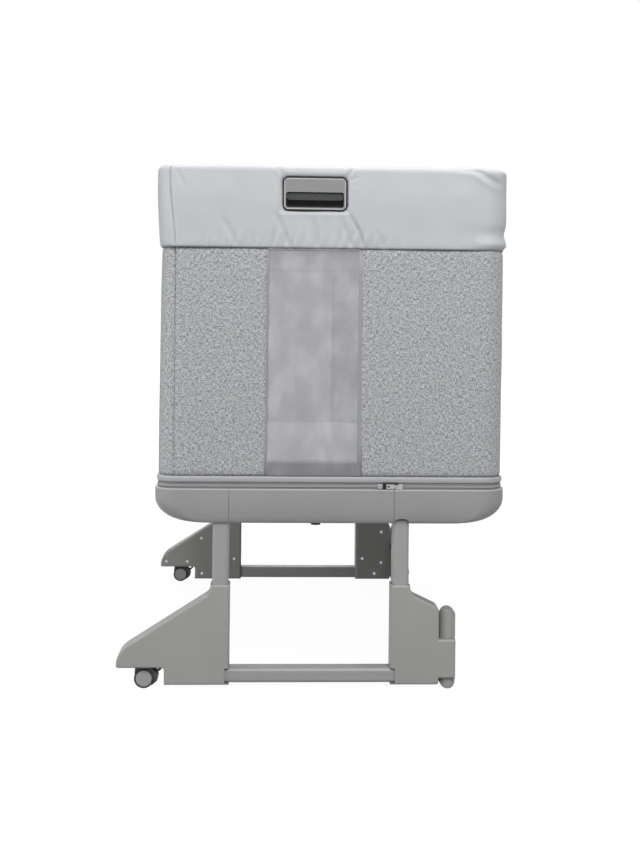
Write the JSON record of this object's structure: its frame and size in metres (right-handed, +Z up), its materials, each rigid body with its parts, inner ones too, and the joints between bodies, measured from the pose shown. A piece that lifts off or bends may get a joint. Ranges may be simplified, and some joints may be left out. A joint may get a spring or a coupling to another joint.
{
  "type": "bedside sleeper crib",
  "caption": "Bedside sleeper crib: padded fabric basin with mesh end windows and a drop side, on two telescopic leg stands with casters and fold-out feet.",
  "frame": {"origin": "on the floor, under the centre of the crib's overall box", "axes": "+X towards the adult's bed, the side that drops; +Y along the crib, away from the end with the zip slider; +Z up"},
  "size_m": [0.7014, 0.9468, 0.945],
  "materials": {
    "tray_grey": "matte",
    "leg_grey": "matte",
    "post_paint": "satin",
    "frame_tube": "satin",
    "dark_plastic": "matte",
    "board": "matte",
    "mattress_cover": "matte",
    "heather_fabric": "matte",
    "mesh": "matte",
    "band_satin": "satin",
    "zip_tape": "matte",
    "zip_teeth": "satin",
    "zip_metal": "polished",
    "pins": "satin",
    "handle_grey": "matte",
    "lever_dark": "matte",
    "pad_rubber": "matte",
    "caster_dark": "matte",
    "wheel_grey": "satin"
  },
  "bodies": {
    "basin": {"base_shell_left": "tray_grey", "base_shell_centre": "tray_grey", "base_shell_right": "tray_grey", "tray_sockets": "dark_plastic", "underside_pads": "pad_rubber", "base_board": "board", "mattress": "mattress_cover", "corner_uprights": "frame_tube", "top_frame_tubes": "frame_tube", "corner_fittings": "dark_plastic", "left_wall": "heather_fabric", "near_end_wall": "heather_fabric", "far_end_wall": "heather_fabric", "right_wall": "heather_fabric", "mesh_windows": "mesh", "left_band": "band_satin", "near_band": "band_satin", "far_band": "band_satin", "bottom_piping": "band_satin", "zip_tape": "zip_tape", "zip_teeth": "zip_teeth", "near_handle_housing": "handle_grey", "far_handle_housing": "handle_grey", "lever_pins": "pins", "height_posts": "post_paint"},
    "drop_side": {"drop_rail": "frame_tube", "drop_brackets": "dark_plastic", "right_band": "band_satin"},
    "zip_runner": {"zip_slider": "zip_metal"},
    "zip_puller": {"zip_pull": "zip_metal"},
    "near_lever": {"near_release_lever": "lever_dark"},
    "near_latch": {"near_latch_rod": "pins"},
    "near_button": {"near_height_button": "leg_grey"},
    "near_stand": {"near_left_leg_cover": "leg_grey", "near_left_leg_back": "leg_grey", "near_right_leg_cover": "leg_grey", "near_right_leg_back": "leg_grey", "near_crossbar": "post_paint", "near_leg_screws": "pins", "near_foot_pin": "pins"},
    "near_foot": {"near_fold_foot": "leg_grey"},
    "near_caster": {"near_caster_body": "caster_dark", "near_caster_axle": "pins"},
    "near_wheels": {"near_caster_wheels": "wheel_grey"},
    "near_brake": {"near_brake_pedal": "caster_dark"},
    "far_lever": {"far_release_lever": "lever_dark"},
    "far_latch": {"far_latch_rod": "pins"},
    "far_button": {"far_height_button": "leg_grey"},
    "far_stand": {"far_left_leg_cover": "leg_grey", "far_left_leg_back": "leg_grey", "far_right_leg_cover": "leg_grey", "far_right_leg_back": "leg_grey", "far_crossbar": "post_paint", "far_leg_screws": "pins", "far_foot_pin": "pins"},
    "far_foot": {"far_fold_foot": "leg_grey"},
    "far_caster": {"far_caster_body": "caster_dark", "far_caster_axle": "pins"},
    "far_wheels": {"far_caster_wheels": "wheel_grey"},
    "far_brake": {"far_brake_pedal": "caster_dark"}
  },
  "joints": [
    {"name": "drop_side_slide", "type": "slide", "parent": "basin", "child": "drop_side", "axis": [0, 0, -1], "range_m": [0, 0.36], "deforming": ["right_wall"]},
    {"name": "zip_slide", "type": "slide", "parent": "basin", "child": "zip_runner", "axis": [1, 0, 0], "range_m": [0, 0.12]},
    {"name": "zip_pull_pivot", "type": "hinge", "parent": "zip_runner", "child": "zip_puller", "pos_m": [0.14925, -0.47195, 0.3675], "axis": [0, 0, 1], "range_deg": [0, 100]},
    {"name": "near_release", "type": "hinge", "parent": "basin", "child": "near_lever", "pos_m": [-0.00275, -0.4659, 0.905], "axis": [-1, 0, 0], "range_deg": [0, 10], "stiffness_Nm_per_rad": 0.4, "springref_deg": -17.19},
    {"name": "near_latch_slide", "type": "slide", "parent": "basin", "child": "near_latch", "axis": [-1, 0, 0], "range_m": [0, 0.007]},
    {"name": "near_button_press", "type": "slide", "parent": "basin", "child": "near_button", "axis": [-1, 0, 0], "range_m": [0, 0.0025], "stiffness_N_per_m": 400, "springref_m": -0.001},
    {"name": "near_height", "type": "slide", "parent": "basin", "child": "near_stand", "axis": [0, 0, 1], "range_m": [0, 0.085]},
    {"name": "near_foot_fold", "type": "hinge", "parent": "near_stand", "child": "near_foot", "pos_m": [0.24795, -0.443, 0.072], "axis": [0, 0, -1], "range_deg": [0, 90]},
    {"name": "near_caster_swivel", "type": "hinge", "parent": "near_stand", "child": "near_caster", "pos_m": [-0.29475, -0.443, 0.0384], "axis": [0, 0, 1], "continuous": true},
    {"name": "near_wheel_spin", "type": "hinge", "parent": "near_caster", "child": "near_wheels", "pos_m": [-0.30125, -0.443, 0.0176], "axis": [0, 1, 0], "continuous": true},
    {"name": "near_brake_press", "type": "hinge", "parent": "near_caster", "child": "near_brake", "pos_m": [-0.28175, -0.443, 0.0258], "axis": [0, 1, 0], "range_deg": [0, 12]},
    {"name": "far_release", "type": "hinge", "parent": "basin", "child": "far_lever", "pos_m": [-0.00275, 0.4659, 0.905], "axis": [1, 0, 0], "range_deg": [0, 10], "stiffness_Nm_per_rad": 0.4, "springref_deg": -17.19},
    {"name": "far_latch_slide", "type": "slide", "parent": "basin", "child": "far_latch", "axis": [-1, 0, 0], "range_m": [0, 0.007]},
    {"name": "far_button_press", "type": "slide", "parent": "basin", "child": "far_button", "axis": [-1, 0, 0], "range_m": [0, 0.0025], "stiffness_N_per_m": 400, "springref_m": -0.001},
    {"name": "far_height", "type": "slide", "parent": "basin", "child": "far_stand", "axis": [0, 0, 1], "range_m": [0, 0.085]},
    {"name": "far_foot_fold", "type": "hinge", "parent": "far_stand", "child": "far_foot", "pos_m": [0.24795, 0.443, 0.072], "axis": [0, 0, 1], "range_deg": [0, 90]},
    {"name": "far_caster_swivel", "type": "hinge", "parent": "far_stand", "child": "far_caster", "pos_m": [-0.29475, 0.443, 0.0384], "axis": [0, 0, 1], "continuous": true},
    {"name": "far_wheel_spin", "type": "hinge", "parent": "far_caster", "child": "far_wheels", "pos_m": [-0.30125, 0.443, 0.0176], "axis": [0, 1, 0], "continuous": true},
    {"name": "far_brake_press", "type": "hinge", "parent": "far_caster", "child": "far_brake", "pos_m": [-0.28175, 0.443, 0.0258], "axis": [0, 1, 0], "range_deg": [0, 12]}
  ],
  "couplings": [
    {"joint": "near_latch_slide", "follows": "near_release", "m_per_rad": 0.04},
    {"joint": "far_latch_slide", "follows": "far_release", "m_per_rad": 0.04}
  ]
}
